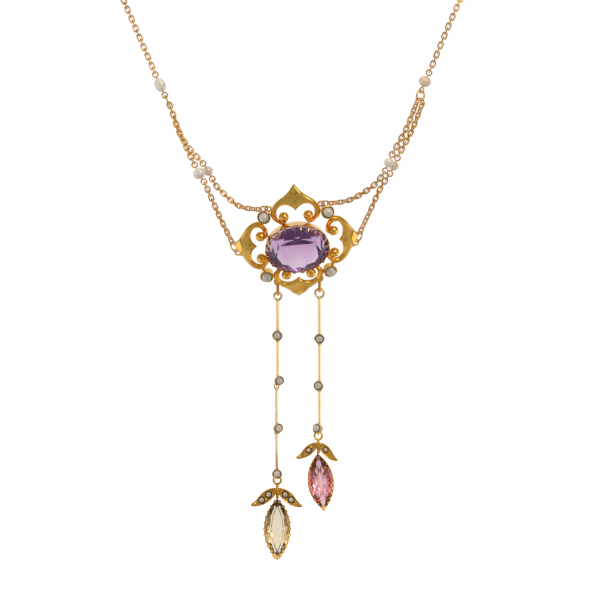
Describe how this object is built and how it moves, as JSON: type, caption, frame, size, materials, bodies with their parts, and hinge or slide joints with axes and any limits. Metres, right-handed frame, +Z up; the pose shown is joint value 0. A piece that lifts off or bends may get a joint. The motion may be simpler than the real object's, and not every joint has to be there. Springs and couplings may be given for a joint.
{
  "type": "drop necklace",
  "caption": "Trace chain necklace with a pierced gold frame round an oval purple stone, festoons with pearls, and two long knife-edge drops that end in marquise stones.",
  "frame": {"origin": "middle of the clasp at the nape of the neck, where the necklace hangs", "axes": "+Z up, -Y to the front of the wearer, +X to the right as seen from the front"},
  "size_m": [0.1092, 0.1011, 0.164],
  "materials": {
    "gold": "polished 15 carat gold, a little worn",
    "chain_gold": "drawn 15 carat gold wire, soft polish",
    "half_pearl": "natural half pearl, grey white lustre",
    "bead_pearl": "natural drilled pearl, cream lustre",
    "amethyst": "faceted and polished, open back",
    "citrine": "faceted and polished, open back",
    "tourmaline": "faceted and polished, open back"
  },
  "bodies": {
    "necklace": {"frame": "gold", "amethyst": "amethyst", "frame_pearl_1": "half_pearl", "frame_pearl_2": "half_pearl", "frame_pearl_3": "half_pearl", "frame_pearl_4": "half_pearl", "left_inner_festoon": "chain_gold", "left_outer_festoon": "chain_gold", "right_inner_festoon": "chain_gold", "right_outer_festoon": "chain_gold", "left_inner_strand": "chain_gold", "left_outer_strand": "chain_gold", "right_inner_strand": "chain_gold", "right_outer_strand": "chain_gold", "left_upper_bead": "bead_pearl", "left_inner_bead": "bead_pearl", "left_outer_bead": "bead_pearl", "right_upper_bead": "bead_pearl", "right_inner_bead": "bead_pearl", "right_outer_bead": "bead_pearl", "left_upper_bead_wire": "gold", "left_inner_bead_wire": "gold", "left_outer_bead_wire": "gold", "right_upper_bead_wire": "gold", "right_inner_bead_wire": "gold", "right_outer_bead_wire": "gold", "left_front_chain": "chain_gold", "right_front_chain": "chain_gold", "left_neck_chain": "chain_gold", "right_neck_chain": "chain_gold", "clasp": "chain_gold"},
    "left_link": {"left_link": "gold"},
    "left_upper_bar": {"left_upper_bar": "gold", "left_bar_pearl_1": "half_pearl", "left_bar_pearl_2": "half_pearl"},
    "left_lower_bar": {"left_lower_bar": "gold", "left_bar_pearl_3": "half_pearl", "left_bar_pearl_4": "half_pearl"},
    "left_pendant": {"left_pendant_setting": "gold", "citrine": "citrine", "left_leaf_pearl_1": "half_pearl", "left_leaf_pearl_2": "half_pearl", "left_leaf_pearl_3": "half_pearl", "left_leaf_pearl_4": "half_pearl"},
    "right_link": {"right_link": "gold"},
    "right_bar": {"right_bar": "gold", "right_bar_pearl_1": "half_pearl", "right_bar_pearl_2": "half_pearl", "right_bar_pearl_3": "half_pearl"},
    "right_pendant": {"right_pendant_setting": "gold", "tourmaline": "tourmaline", "right_leaf_pearl_1": "half_pearl", "right_leaf_pearl_2": "half_pearl"}
  },
  "joints": [
    {"name": "left_drop_swing", "type": "hinge", "parent": "necklace", "child": "left_link", "pos_m": [-0.00367, -0.08781, -0.10692], "axis": [1, 0, 0], "range_deg": [-45, 45]},
    {"name": "left_bar_sway", "type": "hinge", "parent": "left_link", "child": "left_upper_bar", "pos_m": [-0.00367, -0.08781, -0.10894], "axis": [0, 1, 0], "range_deg": [0, 30]},
    {"name": "left_lower_bar_swing", "type": "hinge", "parent": "left_upper_bar", "child": "left_lower_bar", "pos_m": [-0.00392, -0.08721, -0.12676], "axis": [1, 0, 0], "range_deg": [-30, 30]},
    {"name": "left_pendant_swing", "type": "hinge", "parent": "left_lower_bar", "child": "left_pendant", "pos_m": [-0.00377, -0.08661, -0.14548], "axis": [1, 0, 0], "range_deg": [-40, 40]},
    {"name": "right_drop_swing", "type": "hinge", "parent": "necklace", "child": "right_link", "pos_m": [0.00473, -0.0872, -0.10621], "axis": [1, 0, 0], "range_deg": [-45, 45]},
    {"name": "right_bar_sway", "type": "hinge", "parent": "right_link", "child": "right_bar", "pos_m": [0.00473, -0.0872, -0.10823], "axis": [0, -1, 0], "range_deg": [0, 30]},
    {"name": "right_pendant_swing", "type": "hinge", "parent": "right_bar", "child": "right_pendant", "pos_m": [0.00448, -0.0866, -0.13657], "axis": [1, 0, 0], "range_deg": [-40, 40]}
  ]
}
